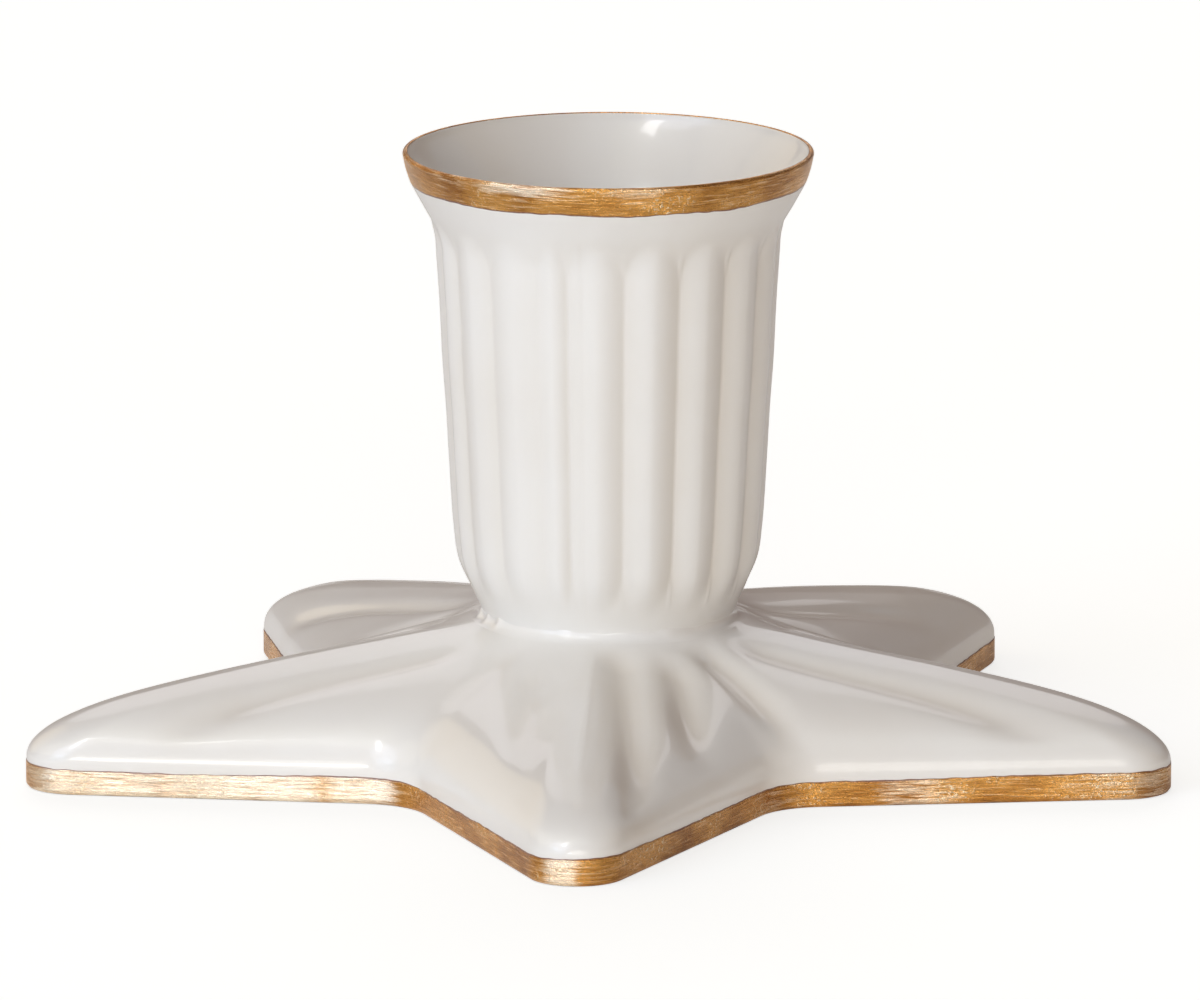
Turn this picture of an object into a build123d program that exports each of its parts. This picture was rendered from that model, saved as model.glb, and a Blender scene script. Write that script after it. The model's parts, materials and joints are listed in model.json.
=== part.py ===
from build123d import *
import math
import os

# Tealight holder: a fluted, flared cup luted onto a hollow five-armed star foot, both slip cast,
# with a fired gold lustre round the rim and round the star's edge. Millimetres, +Z up. The pieces
# are modelled about the cup's axis with the table at z = 0, then moved so that the origin is the
# middle of the footprint.

# Star foot
arm_angles = (-17.89, 49.77, 123.39, 195.62, 267.34)  # direction of each arm, a little uneven
arm_points = (93.3, 94.4, 93.1, 93.5, 93.5)           # where each arm's straight flanks would meet
valley_point = 43.2                                   # where the flanks of two arms would meet
tip_fillet = 7.0
valley_fillet = 9.9
star_shift = -0.8        # the star's centre lies this far beside the cup's axis, along X
skirt_height = 3.8       # upright edge below the dome
collar_radius = 18.2     # flat top of the dome, under the cup
collar_height = 19.9
dome_setback = 0.05      # ledge between the upright edge and the dome
crest_fall = 0.6         # how much of the dome's rise is lost along an arm before its edge turns down
star_wall = 4.0
outline_samples = 120
dome_levels = (1.0, 0.985, 0.94, 0.86, 0.74, 0.58, 0.4, 0.2, 0.0)

# Socket in the star, tenon on the cup, and the slip that lutes them
socket_radius = 13.8
slip_thickness = 0.4
tenon_bore = 10.0
foot_radius = 17.1
bead_height = 1.2

# Cup
cup_height = 86.0
rim_radius = 28.7
lip_width = 0.8
reed_count = 18
reed_turn = 5.5          # direction of one groove, seen from above, in degrees from -Y towards +X
reed_depth = 1.1
reeds_bottom = 24.2
reeds_top = 76.0
waist = (73.6, 23.95)    # height and radius just under the flare
ankle = (28.4, 21.3)     # height and radius where the body turns in to its neck
neck = (23.0, 18.2)
well_radius = 20.0
well_floor = 61.0
well_top = 74.0
floor_thickness = 3.5
cup_wall = 3.0

# Gold lustre
gold_thickness = 0.2
gold_inset = 0.25        # how far the flare is drawn in under the lustre
gold_bottom = 0.4        # bare strip above the table
gold_top = 3.6
rim_gold_bottom = 82.0


def at_angle(radius, degrees, height=0.0):
    turn = math.radians(degrees)
    return (radius * math.cos(turn), radius * math.sin(turn), height)


def star_face():
    corners = []
    for index, angle in enumerate(arm_angles):
        following = arm_angles[(index + 1) % len(arm_angles)]
        gap = (following - angle) % 360
        corners.append(at_angle(arm_points[index], angle))
        corners.append(at_angle(valley_point, angle + gap / 2))
    outline = make_face(Polyline(*corners, close=True))
    tips = [v for v in outline.vertices() if v.center().length > valley_point + 1]
    outline = fillet(tips, tip_fillet)
    sharp = outline.vertices().filter_by(lambda v: abs(v.center().length - valley_point) < 0.01)
    outline = fillet(sharp, valley_fillet)
    return Pos(star_shift, 0, 0) * outline.face()


def dome(outline, base_height, rise, setback):
    """A dome whose level curves pass from an outline, set back a little, to a circle."""
    wire = outline.outer_wire()
    edge_points = [wire.position_at(i / outline_samples) for i in range(outline_samples)]
    levels = []
    for share in dome_levels:
        height = base_height + rise * (1 - crest_fall * share) * math.sqrt(1 - share**8)
        curve = []
        for point in edge_points:
            radius = math.hypot(point.X, point.Y)
            level_radius = collar_radius + share * (radius - setback - collar_radius)
            curve.append((point.X * level_radius / radius, point.Y * level_radius / radius, height))
        levels.append(Wire([Edge.make_spline(curve, periodic=True)]))
    return Solid.make_loft(levels)


def upright(outline, bottom, top):
    return extrude(Pos(0, 0, bottom) * outline, top - bottom)


def star_shell(gold):
    outside = star_face()
    inside = offset(outside, amount=-star_wall).face()
    rise = collar_height - skirt_height
    body = upright(outside, 0, skirt_height) - gold
    body += dome(outside, skirt_height, rise, dome_setback)
    body -= dome(inside, 0, collar_height - star_wall, 0)
    return body - Pos(0, 0, collar_height - star_wall / 2) * Cylinder(socket_radius, 2 * star_wall)


def edge_gold():
    """Lustre on the star's upright edge, let into it by its own thickness."""
    outside = star_face()
    inside = offset(outside, amount=-gold_thickness).face()
    return upright(outside, gold_bottom, gold_top) - upright(inside, 0, skirt_height)


def reed_section(crest_radius, height):
    pitch = 360 / reed_count
    arcs = []
    for index in range(reed_count):
        start = reed_turn - 90 + index * pitch
        low = crest_radius - reed_depth
        arcs.append(ThreePointArc(
            at_angle(low, start, height),
            at_angle(crest_radius, start + pitch / 2, height),
            at_angle(low, start + pitch, height),
        ))
    return make_face(Wire(arcs))


def flare_line(inward=0.0):
    """Outer line of the flare, from the waist to the lip."""
    start = (waist[1] - inward, waist[0])
    middle = ((waist[1] + rim_radius) / 2 + 0.45 - inward, (waist[0] + cup_height) / 2 + 0.9)
    return Spline(start, middle, (rim_radius, cup_height), tangents=((0, 1), (0.25, 1)))


def turned(lines):
    edges = [edge for line in lines for edge in line.edges()]
    section = make_face(Plane.XZ * Wire(edges))
    return revolve(section, Axis.Z)


def cup_blank(depth):
    """Outside of the cup as turned, solid, with its flutes' zone lowered by depth."""
    foot = slip_thickness + collar_height
    ankle_point = (ankle[1] - depth, ankle[0])
    neck_point = (neck[1] - depth * 0.4, neck[0])
    body_line = Line(ankle_point, (waist[1] - depth, waist[0]))
    flare = flare_line(depth)
    return turned([
        Line((0, foot), (foot_radius, foot)),
        Spline((foot_radius, foot), neck_point, tangents=((-0.1, 1), (0.5, 1))),
        Spline(neck_point, ankle_point, tangents=((1.3, 1), body_line % 0)),
        body_line,
        flare,
        Line(flare @ 1, (0, cup_height)),
        Line((0, cup_height), (0, foot)),
    ])


def well():
    """Room for the tealight and the mouth above it."""
    mouth = Spline(
        (well_radius, well_top), (24.4, 80.6), (rim_radius - lip_width, cup_height),
        tangents=((0.1, 1), (0.3, 1)),
    )
    return turned([
        Line((0, well_floor), (well_radius, well_floor)),
        Line((well_radius, well_floor), (well_radius, well_top)),
        mouth,
        Line(mouth @ 1, (0, cup_height)),
        Line((0, cup_height), (0, well_floor)),
    ])


def column_hollow():
    """Drained inside of the casting, from under the well's floor down through the tenon."""
    top = well_floor - floor_thickness
    rate = (waist[1] - ankle[1]) / (waist[0] - ankle[0])
    skin = reed_depth + cup_wall
    top_radius = ankle[1] + rate * (top - ankle[0]) - skin
    shoulder = (ankle[1] - skin, ankle[0])
    throat = neck[0] - 1
    return turned([
        Line((0, 0), (tenon_bore, 0)),
        Line((tenon_bore, 0), (tenon_bore, throat)),
        Line((tenon_bore, throat), shoulder),
        Line(shoulder, (top_radius, top)),
        Line((top_radius, top), (0, top)),
        Line((0, top), (0, 0)),
    ])


def flare_solid(inward, top):
    """The flared end of the cup, solid, drawn in by a small amount and cut off level."""
    flare = Pos(-inward, 0) * flare_line()
    end = flare @ 1
    solid = turned([
        Line((0, waist[0]), flare @ 0), flare, Line(end, (0, end.Y)), Line((0, end.Y), (0, waist[0])),
    ])
    return solid & Pos(0, 0, (rim_gold_bottom + top) / 2) * Cylinder(2 * rim_radius, top - rim_gold_bottom)


def rim_gold():
    """Lustre over the lip and down the outside of the flare, let into both."""
    return flare_solid(0, cup_height) - flare_solid(gold_inset, cup_height - gold_thickness) - well()


def fluted_cup(gold):
    reeds = loft([reed_section(ankle[1], reeds_bottom), reed_section(waist[1] + 0.1, reeds_top)], ruled=True)
    outside = cup_blank(reed_depth) + (reeds & cup_blank(0))
    tenon_height = star_wall + slip_thickness
    tenon = Pos(0, 0, collar_height - star_wall + tenon_height / 2)
    outside += tenon * Cylinder(socket_radius - slip_thickness, tenon_height)
    return outside - well() - column_hollow() - gold


def slip_joint():
    """Slip squeezed round the tenon, under the foot, and out into a small bead round it."""
    tenon_radius = socket_radius - slip_thickness
    bottom = collar_height - star_wall
    top = collar_height + slip_thickness
    bead_foot = (collar_radius, collar_height)
    bead_top = (foot_radius, top)
    return turned([
        Polyline((foot_radius, top), (tenon_radius, top), (tenon_radius, bottom), (socket_radius, bottom),
                 (socket_radius, collar_height), bead_foot),
        Spline(bead_foot, bead_top, tangents=((-1, 0.15), (-0.3, 1))),
    ])


rim_gilding = rim_gold()
base_gilding = edge_gold()
pieces = {
    "star_base": star_shell(base_gilding),
    "fluted_cup": fluted_cup(rim_gilding),
    "slip_joint": slip_joint(),
    "rim_gilding": rim_gilding,
    "base_gilding": base_gilding,
}

footprint = pieces["star_base"].bounding_box().center()
to_origin = Pos(-footprint.X, -footprint.Y, 0)
os.makedirs("parts", exist_ok=True)
for name, piece in pieces.items():
    export_step(to_origin * piece, f"parts/{name}.step")
print(f"cup axis at {-footprint.X:.3f}, {-footprint.Y:.3f}")
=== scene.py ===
import bisect
import json
import math
import bpy
import bmesh
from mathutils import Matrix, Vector, noise


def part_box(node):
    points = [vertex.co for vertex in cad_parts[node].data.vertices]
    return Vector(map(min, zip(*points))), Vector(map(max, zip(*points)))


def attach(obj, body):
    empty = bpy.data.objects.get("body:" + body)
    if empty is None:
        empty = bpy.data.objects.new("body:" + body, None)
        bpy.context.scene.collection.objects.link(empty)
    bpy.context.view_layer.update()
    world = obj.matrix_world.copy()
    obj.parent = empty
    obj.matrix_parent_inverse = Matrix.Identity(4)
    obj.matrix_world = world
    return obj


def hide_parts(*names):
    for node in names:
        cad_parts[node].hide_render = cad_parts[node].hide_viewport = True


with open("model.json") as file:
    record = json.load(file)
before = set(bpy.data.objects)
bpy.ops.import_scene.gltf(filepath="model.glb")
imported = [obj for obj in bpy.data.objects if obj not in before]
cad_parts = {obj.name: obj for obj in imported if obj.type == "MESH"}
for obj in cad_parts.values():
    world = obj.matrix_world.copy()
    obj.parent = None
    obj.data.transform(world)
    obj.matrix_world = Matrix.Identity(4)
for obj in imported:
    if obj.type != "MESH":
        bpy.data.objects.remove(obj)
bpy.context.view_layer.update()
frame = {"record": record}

mm = 0.001
mounts = {mount["name"]: mount for mount in frame["record"]["mounts"]}
axis = Vector((*mounts["tealight_well"]["pos_m"][:2], 0))  # the cup's axis, in the plane of the table
starCentre = axis + Vector((-0.8 * mm, 0, 0))              # the star stands a little off the cup's axis
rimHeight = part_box("rim_gilding")[1].z
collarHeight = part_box("star_base")[1].z
wellFloor = mounts["tealight_floor"]["pos_m"][2]
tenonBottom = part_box("fluted_cup")[0].z


# curves and surfaces that several pieces share

def softStep(low, high, value):
    share = min(max((value - low) / (high - low), 0.0), 1.0)
    return share * share * (3 - 2 * share)


def turnBetween(a, b):
    # difference of two directions, in radians, from -pi to pi
    return (a - b + math.pi) % (2 * math.pi) - math.pi


def throughPoints(points, closed=False, steps=24):
    # a smooth curve through a few points
    count = len(points)
    last = count if closed else count - 1
    fine = []
    for i in range(last):
        if closed:
            a, b, c, d = (points[(i + k - 1) % count] for k in range(4))
        else:
            a, b, c, d = (points[min(max(i + k - 1, 0), count - 1)] for k in range(4))
        for k in range(steps):
            t = k / steps
            fine.append(0.5 * ((2 * b) + (c - a) * t + (2 * a - 5 * b + 4 * c - d) * t**2
                               + (3 * b - a - 3 * c + d) * t**3))
    if not closed:
        fine.append(points[-1].copy())
    return fine


class Path:
    # a polyline that can be read at any distance along it
    def __init__(self, points):
        self.points = points
        self.marks = [0.0]
        for a, b in zip(points, points[1:]):
            self.marks.append(self.marks[-1] + (b - a).length)
        self.length = self.marks[-1]

    def at(self, distance):
        distance = min(max(distance, 0.0), self.length)
        i = min(max(bisect.bisect_right(self.marks, distance) - 1, 0), len(self.points) - 2)
        span = self.marks[i + 1] - self.marks[i]
        share = (distance - self.marks[i]) / span if span else 0.0
        return self.points[i].lerp(self.points[i + 1], share)

    def side(self, distance):
        # unit vector to the right of the way along
        step = self.length * 0.002
        way = (self.at(distance + step) - self.at(distance - step)).normalized()
        return Vector((way.y, -way.x))

    def distanceAtHeight(self, height):
        for i, (a, b) in enumerate(zip(self.points, self.points[1:])):
            if (a.y - height) * (b.y - height) <= 0 and a.y != b.y:
                return self.marks[i] + (self.marks[i + 1] - self.marks[i]) * (height - a.y) / (b.y - a.y)
        return self.length


# meshes

def newPiece(name, bm, material, slot, *replaced):
    mesh = bpy.data.meshes.new(name)
    bmesh.ops.recalc_face_normals(bm, faces=bm.faces)
    bm.to_mesh(mesh)
    bm.free()
    mesh.shade_smooth()
    piece = bpy.data.objects.new(name, mesh)
    bpy.context.scene.collection.objects.link(piece)
    mesh.materials.append(material)
    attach(piece, "root")
    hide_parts(*replaced)
    print(f"{name}: {len(mesh.polygons)} faces")
    return piece


def spunLine(points, turns, closed=False):
    # spins a line of (radius, height) points in millimetres round the cup's axis; "mark" numbers its points
    bm = bmesh.new()
    marks = bm.verts.layers.float.new("mark")
    verts = []
    for index, point in enumerate(points):
        vert = bm.verts.new((point.x * mm, 0, point.y * mm))
        vert[marks] = index
        verts.append(vert)
    edges = [bm.edges.new(pair) for pair in zip(verts, verts[1:])]
    if closed:
        edges.append(bm.edges.new((verts[-1], verts[0])))
    bmesh.ops.spin(bm, geom=verts + edges, cent=(0, 0, 0), axis=(0, 0, 1), angle=2 * math.pi,
                   steps=turns, use_merge=True)
    bmesh.ops.remove_doubles(bm, verts=bm.verts, dist=1e-7)
    return bm


def ringShell(rules, count):
    # extrudes a ring from rule to rule and joins the last ring to the first; a rule gives the place of a
    # station, the share of the way round the star's outline, which "mark" keeps
    bm = bmesh.new()
    marks = bm.verts.layers.float.new("mark")
    ring = bmesh.ops.create_circle(bm, segments=count, radius=1)["verts"]
    for index, vert in enumerate(ring):
        vert[marks] = index / count
        vert.co = rules[0](index / count)
    first = list(bm.edges)
    edges = first
    for rule in rules[1:]:
        made = bmesh.ops.extrude_edge_only(bm, edges=edges)["geom"]
        fresh = {item for item in made if isinstance(item, bmesh.types.BMVert)}
        for vert in fresh:
            vert.co = rule(vert[marks])
        edges = [item for item in made
                 if isinstance(item, bmesh.types.BMEdge) and fresh.issuperset(item.verts)]
    bmesh.ops.bridge_loops(bm, edges=first + edges)
    return bm


def paintPoolsAndShade(bm, depthAt):
    # keeps how deep each vertex lies in a hollow for the material to read, which darkens hollows: partly
    # where glaze pools, partly painted shade
    poolShades = bm.verts.layers.float.new("poolingAndShade")
    for vert in bm.verts:
        vert[poolShades] = depthAt(vert.co)


# the star foot: a filleted star polygon with a low creased dome over it

starShape = {
    "armAngles": (-17.89, 49.77, 123.39, 195.62, 267.34),   # degrees, a little uneven
    "armPoints": (93.3, 94.4, 93.1, 93.5, 93.5),            # mm, where an arm's flanks would meet
    "valleyPoint": 43.2,                                    # mm, where two arms' flanks would meet
    "tipFillet": 7.0,
    "valleyFillet": 9.9,
    "stations": 600,           # vertices round the outline
    "skirtHeight": 4.3,        # mm, the gilded upright edge
    "footRound": 0.7,
    "footRows": 7,
    "skirtRows": 4,
    "collarRadius": 18.2,      # mm, the round top under the cup
    "underCollar": 0.05,       # mm that it stays under the collar's height
    "crestFall": 0.6,          # share of the dome's rise that is lost from the collar to the tip
    "squareness": 8,           # how suddenly the dome turns down at its edge
    "socketRadius": 13.9,
    "wall": 4.0,
    "edgeInset": 0.08,         # mm, keeps the body just inside its lustre
    "edgeRows": 34,
    "edgeTurn": 0.06,          # radians, where the rows stop crowding
    "flatRows": 26,
    "innerRows": 12,
}

foldShape = {
    # creases beside an arm's crest: arm, offset from the crest near the foot and further out, depth,
    # half width, start and end along the arm, all in mm; offsets count anticlockwise
    "creases": (
        (0, -7.7, -8.9, 1.2, 2.6, 19, 74),
        (0, 9.0, 10.6, 0.70, 2.2, 19, 68),
        (1, -9.2, -10.8, 0.70, 2.2, 19, 66),
        (1, 8.8, 10.2, 0.65, 2.2, 19, 66),
        (2, -8.8, -10.4, 0.65, 2.2, 19, 66),
        (2, 9.0, 11.6, 0.80, 1.9, 19, 72),
        (3, -9.0, -10.6, 0.70, 2.2, 19, 66),
        (3, 8.9, 9.9, 0.75, 2.2, 20, 72),
        (4, -8.2, -9.6, 0.45, 2.2, 24, 64),
        (4, -4.6, -6.4, 0.3, 3.0, 40, 96),
        (4, 4.2, 6.8, 1.3, 3.0, 19, 92),
        (4, 12.2, 16.2, 1.2, 2.8, 19, 58),
    ),
    "nearReach": 30.0,
    "farReach": 60.0,
    "fadeIn": 8.0,
    "fadeOut": 20.0,
    # creases down the valley after each arm: shift, depth, half width, end
    "valleys": ((0.4, 0.6, 2.4, 44), (0, 0.6, 2.6, 44), (-0.4, 0.6, 2.4, 44), (1.2, 0.35, 2.2, 42),
                (1.8, 1.15, 2.7, 47)),
    "valleyStart": 19.0,
    "valleyFadeIn": 6.0,
    "valleyFadeOut": 12.0,
    # the sharp crest along each arm: height and half width
    "crests": ((0.25, 1.6), (0.25, 1.8), (0.25, 1.8), (0.25, 1.6), (0.5, 1.5)),
    "crestStart": 20.0,
    "crestFadeIn": 8.0,
    "crestEnd": 86.0,
    "crestFadeOut": 20.0,
    "crestSoftness": 0.1,      # square mm, rounds the very top
    "unevenness": 0.25,        # mm, the hand-finished swell of the surface
    "unevenSize": 24.0,
}


def roundedCorner(before, corner, after, radius, steps=24):
    # the arc that rounds a corner: its points from the first flank to the second
    a = (before - corner).normalized()
    b = (after - corner).normalized()
    half = a.angle(b) / 2
    centre = corner + (a + b).normalized() * (radius / math.sin(half))
    start = corner + a * (radius / math.tan(half)) - centre
    end = corner + b * (radius / math.tan(half)) - centre
    first = math.atan2(start.y, start.x)
    sweep = turnBetween(math.atan2(end.y, end.x), first)
    turns = [first + sweep * k / steps for k in range(steps + 1)]
    return [centre + radius * Vector((math.cos(turn), math.sin(turn))) for turn in turns]


def starPath():
    corners = []
    angles = starShape["armAngles"]
    for index, angle in enumerate(angles):
        gap = (angles[(index + 1) % len(angles)] - angle) % 360
        for direction, reach, radius in (
            (angle, starShape["armPoints"][index], starShape["tipFillet"]),
            (angle + gap / 2, starShape["valleyPoint"], starShape["valleyFillet"]),
        ):
            turn = math.radians(direction)
            corners.append((Vector((math.cos(turn), math.sin(turn))) * reach * mm, radius * mm))
    points = []
    for index, (corner, radius) in enumerate(corners):
        before = corners[index - 1][0]
        after = corners[(index + 1) % len(corners)][0]
        points += roundedCorner(before, corner, after, radius)
    points.append(points[0].copy())
    return Path(points)


outline = starPath()
armTurns = [math.radians(angle) for angle in starShape["armAngles"]]
starTop = collarHeight - starShape["underCollar"] * mm
skirtHeight = starShape["skirtHeight"] * mm
centreShift = (starCentre - axis).xy


def edgePoint(station, inset=0.0):
    # point of the star's edge, from the star's centre, moved inwards by inset
    place = station % 1.0 * outline.length
    step = 0.2 * mm
    way = outline.at((place + step) % outline.length) - outline.at((place - step) % outline.length)
    way.normalize()
    return outline.at(place) - Vector((way.y, -way.x)) * inset


creases = [[crease[1:] for crease in foldShape["creases"] if crease[0] == arm]
           for arm in range(len(armTurns))]


def creaseDepth(crease, along, aside):
    nearOffset, farOffset, depth, width, start, end = crease
    run = (along - foldShape["nearReach"]) / (foldShape["farReach"] - foldShape["nearReach"])
    offset = nearOffset + (farOffset - nearOffset) * run
    fade = softStep(start, start + foldShape["fadeIn"], along)
    fade *= 1 - softStep(end - foldShape["fadeOut"], end, along)
    return depth * fade * math.exp(-((aside - offset) / width) ** 2)


def folds(point):
    # depth in mm of the soft radial creases at a place, taken from the star's centre
    reach = point.length / mm
    direction = math.atan2(point.y, point.x)
    depth = 0.0
    for arm, turn in enumerate(armTurns):
        off = turnBetween(direction, turn)
        along = reach * math.cos(off)
        aside = reach * math.sin(off)
        if along > 0:
            depth += sum(creaseDepth(crease, along, aside) for crease in creases[arm])
            height, width = foldShape["crests"][arm]
            start, end = foldShape["crestStart"], foldShape["crestEnd"]
            fade = softStep(start, start + foldShape["crestFadeIn"], along)
            fade *= 1 - softStep(end - foldShape["crestFadeOut"], end, along)
            depth -= height * fade * math.exp(-math.sqrt(aside**2 + foldShape["crestSoftness"]) / width)
        gap = (armTurns[(arm + 1) % len(armTurns)] - turn) % (2 * math.pi)
        off = turnBetween(direction, turn + gap / 2)
        if math.cos(off) > 0:
            shift, valleyDepth, width, end = foldShape["valleys"][arm]
            start = foldShape["valleyStart"]
            fade = softStep(start, start + foldShape["valleyFadeIn"], reach)
            fade *= 1 - softStep(end - foldShape["valleyFadeOut"], end, reach)
            depth += valleyDepth * fade * math.exp(-((reach * math.sin(off) - shift) / width) ** 2)
    return depth


def domePoint(direction, reach, radius, baseHeight, topHeight, creased=True):
    # place on the dome at a radius from the cup's axis; reach is where the dome ends in that direction
    collar = starShape["collarRadius"] * mm
    share = min(max((radius - collar) / (reach - collar), 0.0), 1.0)
    flat = direction * radius
    height = baseHeight + (topHeight - baseHeight) * (1 - starShape["crestFall"] * share) * math.sqrt(
        max(1 - share ** starShape["squareness"], 0.0))
    if creased:
        still = 1 - softStep(0.9, 1.0, share)
        spot = (flat - centreShift) / mm / foldShape["unevenSize"]
        swell = noise.noise(Vector((spot.x, spot.y, 4.0))) * foldShape["unevenness"]
        swell *= softStep(0.0, 0.2, share)
        height -= (folds(flat - centreShift) + swell) * mm * still
    return Vector((flat.x + axis.x, flat.y + axis.y, height))


def onDome(share, inset, baseHeight, topHeight, creased=True):
    # a rule for one ring of the dome; share 1 is the star's edge and 0 the round collar
    def placed(station):
        edge = edgePoint(station, inset) + centreShift
        collar = starShape["collarRadius"] * mm
        radius = collar + share * (edge.length - collar)
        return domePoint(edge.normalized(), edge.length, radius, baseHeight, topHeight, creased)
    return placed


def onSkirt(inset, height):
    # a rule for one level ring of the upright edge
    def placed(station):
        point = edgePoint(station, inset)
        return Vector((point.x + starCentre.x, point.y + starCentre.y, height))
    return placed


def onRound(radius, height):
    # a rule for one round ring about the cup's axis
    def placed(station):
        flat = (edgePoint(station) + centreShift).normalized() * radius
        return Vector((flat.x + axis.x, flat.y + axis.y, height))
    return placed


def makeStar(material):
    inset = starShape["edgeInset"] * mm
    curl = starShape["footRound"] * mm
    wall = starShape["wall"] * mm
    rules = []
    for k in range(starShape["footRows"]):
        turn = math.pi / 2 * k / (starShape["footRows"] - 1)
        rules.append(onSkirt(inset + curl * (1 - math.sin(turn)), curl * (1 - math.cos(turn))))
    for k in range(1, starShape["skirtRows"]):
        rules.append(onSkirt(inset, curl + (skirtHeight - curl) * k / starShape["skirtRows"]))
    for k in range(starShape["edgeRows"] + 1):
        # rows crowd towards the edge, where the dome turns down
        turn = math.pi / 2 + (starShape["edgeTurn"] - math.pi / 2) * k / starShape["edgeRows"]
        share = math.sin(turn) ** (2 / starShape["squareness"])
        rules.append(onDome(share, inset, skirtHeight, starTop))
    for k in range(1, starShape["flatRows"] + 1):
        rules.append(onDome(share * (1 - k / starShape["flatRows"]), inset, skirtHeight, starTop))
    rules.append(onRound(starShape["socketRadius"] * mm, starTop))
    rules.append(onRound(starShape["socketRadius"] * mm, starTop - wall))
    for k in range(starShape["innerRows"] + 1):
        share = math.sin(math.pi / 2 * k / starShape["innerRows"]) ** 0.5
        rules.append(onDome(share, wall, 0, starTop - wall, False))
    bm = ringShell(rules, starShape["stations"])
    # the creases get darker: painted shade in them, partly glaze pooling
    paintPoolsAndShade(bm, lambda place: max(folds((place - starCentre).xy), 0))
    return newPiece("starBody", bm, material, "ivory_glaze", "star_base")


# the cup: points as radius and distance below the rim, in mm

cupShape = {
    "outer": ((28.58, 0.5), (28.2, 2.3), (27.5, 4.4), (26.85, 5.7), (26.1, 7.1), (25.35, 8.9), (24.8, 10.4),
              (24.2, 12.2), (24.0, 15.0), (23.55, 22.0), (23.2, 29.5), (22.7, 36.5), (22.3, 43.6),
              (21.9, 50.5), (21.6, 54.0), (21.3, 56.6), (20.85, 58.5), (20.15, 60.3), (19.35, 61.8),
              (18.6, 63.2), (18.0, 64.3), (17.7, 65.2), (17.6, 66.1)),
    "inner": ((20.0, 25.0), (20.0, 18.0), (20.1, 12.0), (21.2, 9.6), (23.2, 7.0), (25.2, 4.4), (26.9, 2.0),
              (27.75, 0.6)),
    "wellFloor": ((0, 0), (6, 0), (12, 0), (17, 0), (18.6, 0), (19.6, 0.3), (20.0, 1.2)),   # above its floor
    "wallStart": 3.0,          # mm above its floor, where the wall's rows start
    "tenonRadius": 13.4,
    "footChamfer": (0.3, 0.05),
    "tenonGap": 0.1,           # mm that the tenon stays short
    "hollow": ((10.2, 22.0), (17.0, 28.4), (18.6, 57.3), (9.0, 57.5), (0, 57.5)),   # heights above the table
    "columns": 480,
    "outerRows": 104,
    "innerRows": 28,
    "lipRows": 8,
    # the grooves between the reeds, in degrees from -Y towards +X, and their depths in mm
    "grooves": ((-80, 0.8), (-64, 0.8), (-44.4, 0.75), (-24.7, 0.4), (-14.2, 0.8), (5.5, 1.05), (25.5, 1.15),
                (45.0, 1.15), (64.3, 1.0)),
    "backGrooves": 10,
    "backDepth": 1.0,
    "grooveWidth": 0.34,       # share of a reed's width that a groove's hollow takes on each side
    "grooveSharpness": 0.45,   # 0 for round reeds side by side, 1 for flat reeds with narrow grooves
    "reedTop": 10.2,           # mm below the rim, where the rounded ends of the reeds begin and end
    "reedBottom": 60.6,
    "reedEnds": (3.0, 1.8),    # mm, radius of those ends
    "endEdges": (1.8, 3.0),    # mm, half the width of the step down round an end
    "endDrops": (0.6, 0.3),    # of a groove's depth
    "waist": (6.6, 10.8),      # mm below the rim, where the surface between the ends meets the flare
    "ankle": (60.0, 65.0),
}


def grooveLines():
    grooves = [(math.radians(turn), depth) for turn, depth in cupShape["grooves"]]
    first, last = grooves[0][0], grooves[-1][0]
    gap = (first - last) % (2 * math.pi)
    count = cupShape["backGrooves"] + 1
    for k in range(1, count):
        grooves.append((last + gap * k / count, cupShape["backDepth"]))
    return grooves


grooves = grooveLines()


def reedDrop(direction, below):
    # how many mm the surface lies inside the reeds' crests; direction from -Y towards +X
    nearest = sorted(((abs(turnBetween(direction, turn)), depth) for turn, depth in grooves))
    (offA, depthA), (offB, depthB) = nearest[:2]
    share = offA / (offA + offB)
    depth = depthA + (depthB - depthA) * share
    sharp = cupShape["grooveSharpness"]
    groove = (1 - sharp) * (1 - share * 2) ** 2 + sharp * math.exp(-(share / cupShape["grooveWidth"]) ** 2)
    arch = 1 - math.sqrt(max(1 - (1 - 2 * share) ** 2, 0))
    top = cupShape["reedTop"] + arch * cupShape["reedEnds"][0]
    bottom = cupShape["reedBottom"] - arch * cupShape["reedEnds"][1]
    (topEdge, bottomEdge), (topDrop, bottomDrop) = cupShape["endEdges"], cupShape["endDrops"]
    shown = (softStep(top - topEdge, top + topEdge, below)
             * (1 - softStep(bottom - bottomEdge, bottom + bottomEdge, below)))
    drop = topDrop if below < (top + bottom) / 2 else bottomDrop
    kept = softStep(*cupShape["waist"], below) * (1 - softStep(*cupShape["ankle"], below))
    return depth * kept * (shown * groove + (1 - shown) * drop)


def belowRim(points):
    return Path(throughPoints([Vector((radius, rimHeight / mm - below)) for radius, below in points]))


cupOutside = belowRim(cupShape["outer"])
cupInside = belowRim(cupShape["inner"])
lipCentre = (cupOutside.points[0] + cupInside.points[-1]) / 2
lipRadius = (cupOutside.points[0] - cupInside.points[-1]).length / 2


def lipPoint(turn, radius):
    # turn 0 is the outside of the lip and half a circle the inside
    return lipCentre + radius * Vector((math.cos(turn), math.sin(turn)))


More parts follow.
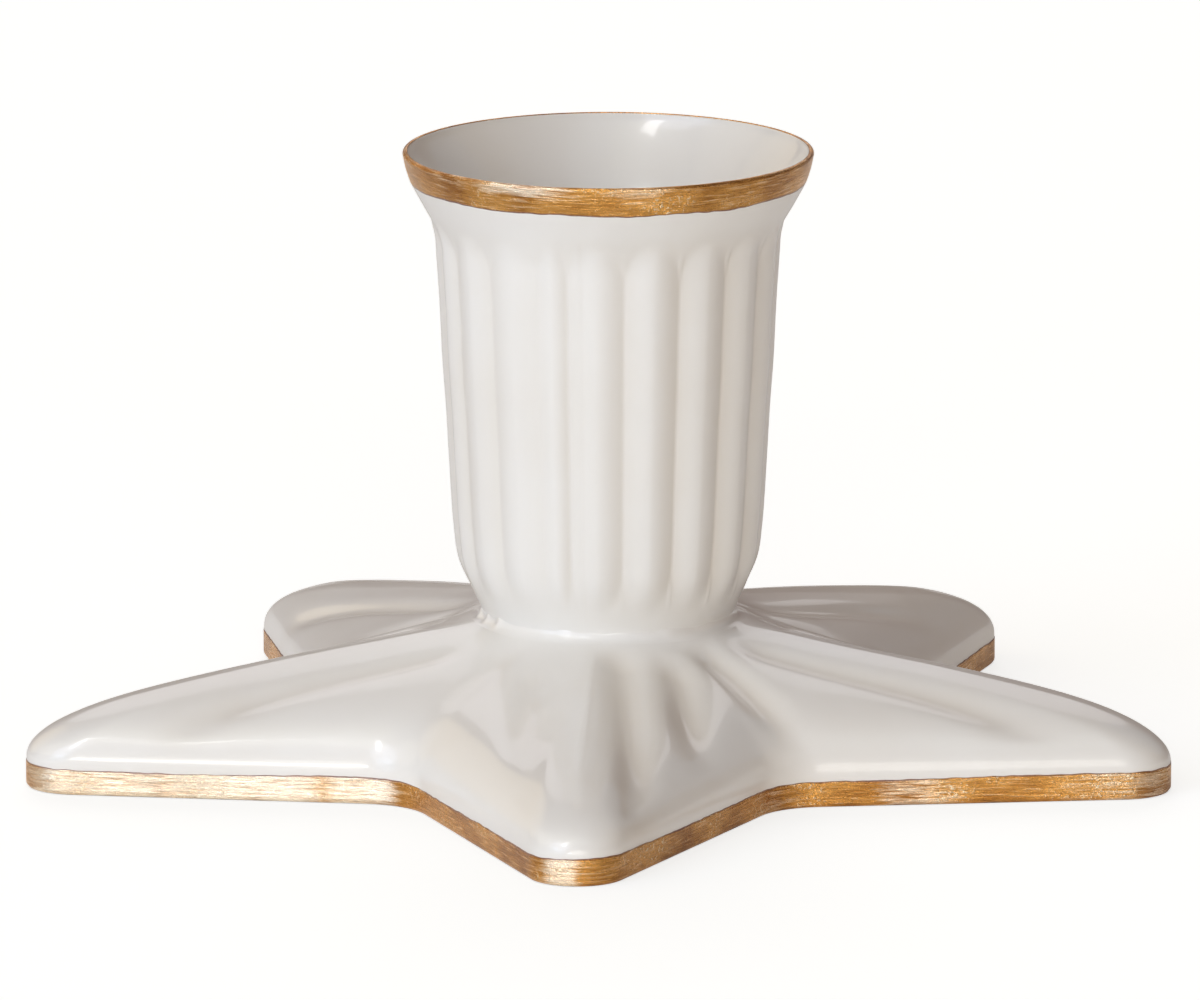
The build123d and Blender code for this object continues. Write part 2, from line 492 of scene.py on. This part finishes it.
def makeCup(material):
    floor = wellFloor / mm
    line = [Vector((radius, floor + height)) for radius, height in cupShape["wellFloor"]]
    rows = cupShape["innerRows"]
    start = cupInside.distanceAtHeight(floor + cupShape["wallStart"])
    line += [cupInside.at(start + (cupInside.length - start) * k / rows) for k in range(rows + 1)]
    lip = cupShape["lipRows"]
    line += [lipPoint(math.pi * (1 - k / lip), lipRadius) for k in range(1, lip)]
    lipEnd = len(line)
    rows = cupShape["outerRows"]
    line += [cupOutside.at(cupOutside.length * k / rows) for k in range(rows + 1)]
    foot = line[-1].y
    tenon = cupShape["tenonRadius"]
    bottom = tenonBottom / mm + cupShape["tenonGap"]
    inwards, down = cupShape["footChamfer"]
    line += [Vector(p) for p in ((line[-1].x - inwards, foot - down), (tenon, foot - down), (tenon, bottom),
                                 (cupShape["hollow"][0][0], bottom), *cupShape["hollow"])]
    bm = spunLine(line, cupShape["columns"])
    poolShades = bm.verts.layers.float.new("poolingAndShade")
    marks = bm.verts.layers.float["mark"]
    for vert in bm.verts:
        if lipEnd <= vert[marks] <= lipEnd + rows:
            drop = reedDrop(math.atan2(vert.co.x, -vert.co.y), (rimHeight - vert.co.z) / mm)
            # the grooves get darker: painted shade in them, partly glaze pooling
            vert[poolShades] = drop
            vert.co.xy *= 1 - drop * mm / vert.co.xy.length
        vert.co += axis
    return newPiece("cupBody", bm, material, "ivory_glaze", "fluted_cup")


# the slip bead, drawn out by hand round the foot

beadShape = {
    # mm out from the cup's axis, and mm above the star
    "section": ((16.8, 1.6), (17.66, 1.6), (17.72, 1.1), (17.86, 0.62), (18.15, 0.26), (18.6, 0.08),
                (19.2, 0.0), (19.8, -0.06), (19.6, -0.5), (16.8, -0.5)),
    "ripple": 0.10,            # mm
    "rippleSize": 6.0,         # ripples in a radian
    "freePart": (17.7, 18.4),  # mm, the radii between which the bead is uneven
    "lumpRise": 0.5,           # how far a lump rises for each mm that it spreads
    # lumps where the slip was pressed: degrees from -Y towards +X, size in mm and half width in degrees
    "lumps": ((-82, 0.3, 3.0), (-70, 0.2, 2.5), (-58, 0.3, 3.0), (-20, 0.15, 5.0), (28, 0.15, 4.0),
              (150, 0.3, 4.0)),
}


def beadSwell(direction):
    swell = beadShape["ripple"] * noise.noise(Vector((direction * beadShape["rippleSize"], 0, 3)))
    for turn, height, width in beadShape["lumps"]:
        off = math.degrees(turnBetween(direction, math.radians(turn)))
        swell += height * math.exp(-(off / width) ** 2)
    return swell


def makeBead(material):
    def onStar(radius, lift, swells):
        def placed(station):
            edge = edgePoint(station) + centreShift
            direction = math.atan2(edge.x, -edge.y)
            swell = beadSwell(direction) * swells
            spot = domePoint(edge.normalized(), edge.length, (radius + swell) * mm, skirtHeight, starTop)
            return spot + Vector((0, 0, (lift + swell * beadShape["lumpRise"]) * mm))
        return placed

    low, high = beadShape["freePart"]
    rules = [onStar(radius, lift, 1.0 if low < radius < high else 0.0)
             for radius, lift in beadShape["section"]]
    bm = ringShell(rules, starShape["stations"])
    return newPiece("slipBead", bm, material, "ivory_glaze", "slip_joint")


# lustre

rimGold = {
    "bottom": 4.25,            # mm below the rim, on the outside
    "overTurn": 120.0,         # degrees that it reaches round the lip
    "lipRows": 10,
    "wave": 0.16,              # mm, of its lower border
    "waveSize": 0.35,
    "fineWave": (0.35, 5),     # a smaller wave on it: its share, and how many times finer
    "waveReach": 2.6,          # mm above the border, where the wave has died out
    "waveOut": 0.4,            # how far the flare carries the border outwards for each mm that it rises
    # where a highlight is painted on as pale, thinly brushed lustre: direction from -Y in degrees, half
    # width, how pale
    "thinAndHighlight": ((-50, 12, 0.2), (-26, 20, 0.5), (8, 14, 0.3)),
    "proud": 0.05,
    "sunk": 0.2,
    "rows": 14,
    "columns": 480,
}

edgeGold = {
    "bottom": 0.12,            # mm above the table
    # direction from the star's centre in degrees, and the band's top in mm
    "tops": ((0, 3.9), (25, 3.5), (60, 3.8), (100, 3.5), (140, 3.9), (175, 3.7), (196, 3.75), (207, 3.6),
             (222, 4.0), (241, 3.5), (262, 3.7), (270, 4.0), (280, 3.7), (300, 3.7), (318, 3.75), (334, 4.0),
             (345, 4.0)),
    "ragged": 0.13,            # mm, the small waves of the top, and their size
    "raggedSize": 1.6,
    # where a highlight is painted on as pale, thinly brushed lustre: direction in degrees, half width, how
    # pale
    "thinAndHighlight": ((202, 9, 0.65), (212, 12, 0.8), (225, 8, 0.7), (266, 2.5, 0.6), (300, 5, 0.25), (322, 6, 0.35),
             (338, 5, 0.3)),
    "proud": 0.07,
    "sunk": 0.25,
    "rows": 10,
    "stations": 900,
}


def highlightShare(direction, places):
    # how strongly a highlight is painted on the lustre in a direction (radians), as pale thin lustre, from 0
    # to 1
    offs = [(math.degrees(abs(turnBetween(direction, math.radians(middle)))), half, thinAndHighlight)
            for middle, half, thinAndHighlight in places]
    return max(thinAndHighlight * (1 - softStep(half * 0.3, half, off)) for off, half, thinAndHighlight in offs)


def makeRimGold(material):
    rows = rimGold["rows"]
    low = cupOutside.distanceAtHeight(rimHeight / mm - rimGold["bottom"])

    def skin(depth, count):
        outside = [cupOutside.at(low * (1 - k / count)) + cupOutside.side(low * (1 - k / count)) * depth
                   for k in range(count)]
        turn = math.radians(rimGold["overTurn"])
        lip = rimGold["lipRows"]
        return outside + [lipPoint(turn * k / lip, lipRadius - depth) for k in range(lip + 1)]

    points = skin(-rimGold["proud"], rows) + list(reversed(skin(rimGold["sunk"], rows)))
    bm = spunLine(points, rimGold["columns"], closed=True)
    acrosses = bm.verts.layers.float.new("across")
    highlights = bm.verts.layers.float.new("thinAndHighlight")
    bottom = rimHeight / mm - rimGold["bottom"]
    for vert in bm.verts:
        height = vert.co.z / mm
        turn = math.atan2(vert.co.x, -vert.co.y)
        spot = Vector((math.cos(turn), math.sin(turn), 0)) / rimGold["waveSize"]
        fineShare, finer = rimGold["fineWave"]
        wave = noise.noise(spot) + fineShare * noise.noise(spot * finer)
        drop = 2 * rimGold["wave"] * wave * (1 - softStep(bottom, bottom + rimGold["waveReach"], height))
        vert[acrosses] = min((height - bottom) / rimGold["bottom"], 1.0)
        # the rim's upper part gets painted highlights as pale lustre
        vert[highlights] = highlightShare(turn, rimGold["thinAndHighlight"]) * softStep(0.4, 0.8, vert[acrosses])
        vert.co += vert.co.xy.normalized().to_3d() * drop * rimGold["waveOut"] * mm + axis
        vert.co.z += drop * mm
    return newPiece("rimLustre", bm, material, "gold_lustre", "rim_gilding")


def bandTop(station):
    # height of the painted band's wavy top, in mm
    point = edgePoint(station) / mm
    turn = math.degrees(math.atan2(point.y, point.x)) % 360
    tops = edgeGold["tops"]
    for (a, low), (b, high) in zip(tops, tops[1:] + ((360 + tops[0][0], tops[0][1]),)):
        if a <= turn <= b:
            break
    rag = noise.noise(Vector((point.x, point.y, 0)) / edgeGold["raggedSize"])
    return low + (high - low) * softStep(a, b, turn) + edgeGold["ragged"] * rag


def makeEdgeGold(material):
    inset = starShape["edgeInset"] * mm
    curl = starShape["footRound"]
    rows = edgeGold["rows"]
    tops = {}

    def onBand(row, depth):
        def placed(station):
            if station not in tops:
                tops[station] = bandTop(station)
            low = edgeGold["bottom"]
            height = low + (tops[station] - low) * row / rows
            curled = curl - math.sqrt(curl**2 - max(curl - height, 0) ** 2)
            return onSkirt(inset + (curled + depth) * mm, height * mm)(station)
        return placed

    rules = [onBand(row, -edgeGold["proud"]) for row in range(rows + 1)]
    rules += [onBand(row, edgeGold["sunk"]) for row in range(rows, -1, -1)]
    bm = ringShell(rules, edgeGold["stations"])
    acrosses = bm.verts.layers.float.new("across")
    highlights = bm.verts.layers.float.new("thinAndHighlight")
    marks = bm.verts.layers.float["mark"]
    for vert in bm.verts:
        place = vert.co - starCentre
        vert[acrosses] = 1 - vert.co.z / mm / tops[vert[marks]]
        # the band gets painted highlights as pale lustre
        vert[highlights] = highlightShare(math.atan2(place.y, place.x), edgeGold["thinAndHighlight"])
    return newPiece("edgeLustre", bm, material, "gold_lustre", "base_gilding")


# materials

class Value:
    # wraps a socket so that shader maths reads as arithmetic
    def __init__(self, sheet, socket):
        self.sheet = sheet
        self.socket = socket

    def join(self, operation, a, b):
        return self.sheet.add("ShaderNodeMath", {"operation": operation}, {0: a, 1: b})

    def __add__(self, other):
        return self.join("ADD", self, other)

    def __radd__(self, other):
        return self.join("ADD", other, self)

    def __sub__(self, other):
        return self.join("SUBTRACT", self, other)

    def __rsub__(self, other):
        return self.join("SUBTRACT", other, self)

    def __mul__(self, other):
        return self.join("MULTIPLY", self, other)

    def __rmul__(self, other):
        return self.join("MULTIPLY", other, self)


class Sheet:
    # one material's node tree
    def __init__(self, name):
        self.material = bpy.data.materials.new(name)
        self.material.use_nodes = True
        self.tree = self.material.node_tree
        self.shader = self.tree.nodes["Principled BSDF"]

    def add(self, kind, settings=None, inputs=None, output=0):
        node = self.tree.nodes.new(kind)
        for name, value in (settings or {}).items():
            setattr(node, name, value)
        for key, value in (inputs or {}).items():
            self.feed(node.inputs[key], value)
        return Value(self, node.outputs[output])

    def feed(self, socket, value):
        if isinstance(value, Value):
            self.tree.links.new(value.socket, socket)
        else:
            socket.default_value = value

    def finish(self, **inputs):
        for name, value in inputs.items():
            self.feed(self.shader.inputs[name.replace("_", " ")], value)
        return self.material


glazeLook = {
    "body": (0.80, 0.79, 0.765, 1),
    # darker than the body: painted shade in hollows and creases, partly glaze pooling
    "pooledAndShaded": (0.70, 0.655, 0.585, 1),
    "poolAndShadeDepth": 2.2,          # mm of hollow that gets the full tint of pooled glaze and painted shade
    "speck": (0.16, 0.12, 0.09, 1),
    "roughness": 0.30,
    "coat": 0.5,
    "coatRoughness": 0.06,
}


def makeGlaze():
    sheet = Sheet("ivoryGlaze")
    place = sheet.add("ShaderNodeTexCoord", output="Object")
    poolAndShade = sheet.add("ShaderNodeAttribute", {"attribute_name": "poolingAndShade"}, output="Fac")
    clouds = sheet.add("ShaderNodeTexNoise", {}, {"Vector": place, "Scale": 38.0, "Detail": 3.0}, "Fac")
    cloudy = sheet.add("ShaderNodeMapRange", {}, {"Value": clouds, "From Min": 0.42, "From Max": 0.8,
                                                  "To Min": 0.0, "To Max": 0.3})
    # darker towards the hollows: painted shade, partly glaze pooling, with random clouds of tone
    tint = sheet.add("ShaderNodeMath", {"operation": "ADD", "use_clamp": True},
                     {0: poolAndShade * (1 / glazeLook["poolAndShadeDepth"]), 1: cloudy})
    colour = sheet.add("ShaderNodeMix", {"data_type": "RGBA"},
                       {0: tint, 6: glazeLook["body"], 7: glazeLook["pooledAndShaded"]}, 2)
    cells = sheet.add("ShaderNodeTexVoronoi", {"feature": "F1"}, {"Vector": place, "Scale": 110.0},
                      "Distance")
    sparse = sheet.add("ShaderNodeTexNoise", {}, {"Vector": place, "Scale": 90.0, "Detail": 1.0}, "Fac")
    dot = sheet.add("ShaderNodeMapRange", {}, {"Value": cells, "From Min": 0.012, "From Max": 0.026,
                                               "To Min": 0.75, "To Max": 0.0})
    chosen = sheet.add("ShaderNodeMapRange", {}, {"Value": sparse, "From Min": 0.60, "From Max": 0.62})
    colour = sheet.add("ShaderNodeMix", {"data_type": "RGBA"},
                       {0: dot * chosen, 6: colour, 7: glazeLook["speck"]}, 2)
    rough = sheet.add("ShaderNodeTexNoise", {}, {"Vector": place, "Scale": 120.0, "Detail": 4.0}, "Fac")
    ripple = sheet.add("ShaderNodeTexNoise", {}, {"Vector": place, "Scale": 75.0, "Detail": 2.0}, "Fac")
    fine = sheet.add("ShaderNodeTexNoise", {}, {"Vector": place, "Scale": 900.0, "Detail": 2.0}, "Fac")
    bump = sheet.add("ShaderNodeBump", {}, {"Strength": 0.2, "Distance": 0.0012,
                                            "Height": ripple + fine * 0.04 - dot * chosen * 0.1})
    return sheet.finish(Base_Color=colour, Roughness=rough * 0.1 + (glazeLook["roughness"] - 0.05),
                        Normal=bump, IOR=1.45, Coat_Weight=glazeLook["coat"],
                        Coat_Roughness=glazeLook["coatRoughness"])


goldLook = {
    "bright": (0.80, 0.415, 0.105, 1),
    "deep": (0.35, 0.14, 0.024, 1),
    "thinAndHighlight": (1.0, 0.88, 0.70, 1),      # pale lustre: random thin streaks, and painted highlights
    # painted glint colour, for the lustre's sparkles
    "paintedGlint": (1.0, 0.84, 0.58, 1),
    "edge": (0.26, 0.13, 0.11, 1),     # the thin dark line where the lustre ends
    "edgeWidth": 0.03,                 # share of the band's height
    "roughness": 0.24,
    "coat": 0.2,
    "coatRoughness": 0.22,
}


def makeGold():
    sheet = Sheet("goldLustre")
    place = sheet.add("ShaderNodeTexCoord", output="Object")
    across = sheet.add("ShaderNodeAttribute", {"attribute_name": "across"}, output="Fac")
    drawn = sheet.add("ShaderNodeMapping", {}, {"Vector": place, "Scale": (1.0, 1.0, 14.0)})
    streaks = sheet.add("ShaderNodeTexNoise", {}, {"Vector": drawn, "Scale": 240.0, "Detail": 6.0,
                                                   "Roughness": 0.65, "Distortion": 0.4}, "Fac")
    patches = sheet.add("ShaderNodeTexNoise", {}, {"Vector": place, "Scale": 110.0, "Detail": 3.0}, "Fac")
    grains = sheet.add("ShaderNodeTexNoise", {}, {"Vector": place, "Scale": 1900.0, "Detail": 3.0,
                                                  "Roughness": 0.7}, "Fac")
    brushed = sheet.add("ShaderNodeMapRange", {}, {"Value": streaks * 0.45 + patches * 0.55, "From Min": 0.38,
                                                   "From Max": 0.58})
    colour = sheet.add("ShaderNodeMix", {"data_type": "RGBA"},
                       {0: brushed, 6: goldLook["deep"], 7: goldLook["bright"]}, 2)
    thinAndHighlight = sheet.add("ShaderNodeAttribute", {"attribute_name": "thinAndHighlight"}, output="Fac")
    # paler in random thin streaks and where highlights are painted
    paleAndHighlit = sheet.add("ShaderNodeMapRange", {}, {"Value": streaks + thinAndHighlight * 0.5, "From Min": 0.55,
                                                "From Max": 0.9})
    colour = sheet.add("ShaderNodeMix", {"data_type": "RGBA"}, {0: paleAndHighlit, 6: colour, 7: goldLook["thinAndHighlight"]}, 2)
    # painted glints: pale specks in patches stand in for the lustre's sparkles
    where = sheet.add("ShaderNodeMapRange", {}, {"Value": patches, "From Min": 0.5, "From Max": 0.62})
    paintedGlint = sheet.add("ShaderNodeMapRange", {}, {"Value": grains, "From Min": 0.56, "From Max": 0.64}) * where
    colour = sheet.add("ShaderNodeMix", {"data_type": "RGBA"}, {0: paintedGlint, 6: colour, 7: goldLook["paintedGlint"]}, 2)
    line = sheet.add("ShaderNodeMapRange", {}, {"Value": across + patches * 0.16 - 0.08,
                                                "From Min": goldLook["edgeWidth"] - 0.015,
                                                "From Max": goldLook["edgeWidth"] + 0.03, "To Min": 0.85,
                                                "To Max": 0.0})
    colour = sheet.add("ShaderNodeMix", {"data_type": "RGBA"}, {0: line, 6: colour, 7: goldLook["edge"]}, 2)
    bump = sheet.add("ShaderNodeBump", {}, {"Strength": 0.7, "Distance": 0.0006,
                                            "Height": streaks * 0.5 + grains * (where * 0.7 + 0.15)})
    return sheet.finish(Base_Color=colour, Metallic=1 - line * 0.7, Normal=bump,
                        Roughness=grains * 0.25 + (goldLook["roughness"] - 0.12),
                        Coat_Weight=goldLook["coat"], Coat_Roughness=goldLook["coatRoughness"])


# stage

stageLook = {
    "floor": (0.9, 0.9, 0.9, 1),
    "floorGlow": (0.96, 1.0, 1.0, 1),
    # two floors in one: the pale one that is seen, and the plainer one that throws light back at the piece
    "floors": (("floorSeen", 0.58, True), ("floorLit", 0.08, False)),
    "world": (1.0, 0.72, 0.61, 1),
    "worldStrength": 0.185,
    # soft boxes: direction from the front towards +X and height, in degrees, then watts and colour
    "boxes": (
        ("key", -45, 34, 33.0, (0.76, 0.83, 1.0)),
        ("keyLow", -45, 8, 16.0, (0.45, 0.72, 1.0)),
        ("keyHigh", -45, 62, 6.3, (1.0, 0.94, 0.60)),
        ("front", 0, 8, 43.0, (1.0, 0.97, 0.90)),
        ("frontHigh", 0, 62, 6.1, (0.87, 1.0, 0.98)),
        ("left", -90, 34, 11.0, (1.0, 0.90, 0.70)),
        ("right", 90, 34, 1.6, (1.0, 0.70, 0.30)),
        ("backLeft", 225, 24, 9.6, (1.0, 0.81, 0.50)),
        ("back", 180, 34, 12.0, (0.97, 0.97, 1.0)),
        ("backRight", 135, 36, 3.4, (0.45, 0.72, 1.0)),
    ),
    # lights that only gleam, as (name, azimuth, elevation, watts, size in metres)
    "gleams": (
        ("window", -34, 49, 14.0, (0.4, 1.0)),
        ("lowWindow", -17, 7, 5.0, (0.5, 0.35)),
    ),
    "boxSize": 2.2,            # metres
    "boxDistance": 3.2,
    "elevation": 12.0,         # degrees, the camera's look down
    "distance": 2.507,         # metres
    "aim": (-0.345, 7.34, 34.55),   # mm from the star's centre
    "lens": 537.0,
}


def makeFloor(name, glow, seen):
    bm = bmesh.new()
    bmesh.ops.create_grid(bm, x_segments=8, y_segments=8, size=6)
    mesh = bpy.data.meshes.new(name)
    bm.to_mesh(mesh)
    bm.free()
    floor = bpy.data.objects.new(name, mesh)
    bpy.context.scene.collection.objects.link(floor)
    mesh.materials.append(Sheet(name).finish(Base_Color=stageLook["floor"], Roughness=0.8,
                                             Emission_Color=stageLook["floorGlow"], Emission_Strength=glow))
    floor.visible_camera = seen
    floor.visible_diffuse = not seen
    floor.visible_glossy = not seen
    floor.visible_shadow = False


def addBox(name, turn, height, power, colour, size=None):
    turn, height = math.radians(turn), math.radians(height)
    way = Vector((math.sin(turn) * math.cos(height), -math.cos(turn) * math.cos(height), math.sin(height)))
    data = bpy.data.lights.new(name, "AREA")
    if size:
        data.shape = "RECTANGLE"
        data.size, data.size_y = size
    else:
        data.shape = "DISK"
        data.size = stageLook["boxSize"]
    data.energy = power
    data.color = colour
    lamp = bpy.data.objects.new(name, data)
    bpy.context.scene.collection.objects.link(lamp)
    lamp.location = way * stageLook["boxDistance"]
    lamp.rotation_euler = (-way).to_track_quat("-Z", "Y").to_euler()
    lamp.visible_camera = False
    lamp.visible_diffuse = size is None


def makeLights():
    scene = bpy.context.scene
    world = bpy.data.worlds.new("studio")
    scene.world = world
    world.use_nodes = True
    background = world.node_tree.nodes["Background"]
    background.inputs["Color"].default_value = stageLook["world"]
    background.inputs["Strength"].default_value = stageLook["worldStrength"]
    for box in stageLook["boxes"]:
        addBox(*box)
    for name, turn, height, power, size in stageLook["gleams"]:
        addBox(name, turn, height, power, (1.0, 1.0, 1.0), size)
    scene.view_settings.view_transform = "Standard"


def makeCamera():
    tilt = math.radians(stageLook["elevation"])
    look = Vector((0, math.cos(tilt), -math.sin(tilt)))
    data = bpy.data.cameras.new("camera")
    data.lens = stageLook["lens"]
    data.sensor_width = 36.0
    data.clip_end = 50
    camera = bpy.data.objects.new("camera", data)
    bpy.context.scene.collection.objects.link(camera)
    camera.location = starCentre + Vector(stageLook["aim"]) * mm - look * stageLook["distance"]
    camera.rotation_euler = look.to_track_quat("-Z", "Y").to_euler()
    bpy.context.scene.camera = camera


makeCamera()
for floor in stageLook["floors"]:
    makeFloor(*floor)
makeLights()
glaze = makeGlaze()
gold = makeGold()
makeStar(glaze)
makeCup(glaze)
makeBead(glaze)
makeRimGold(gold)
makeEdgeGold(gold)
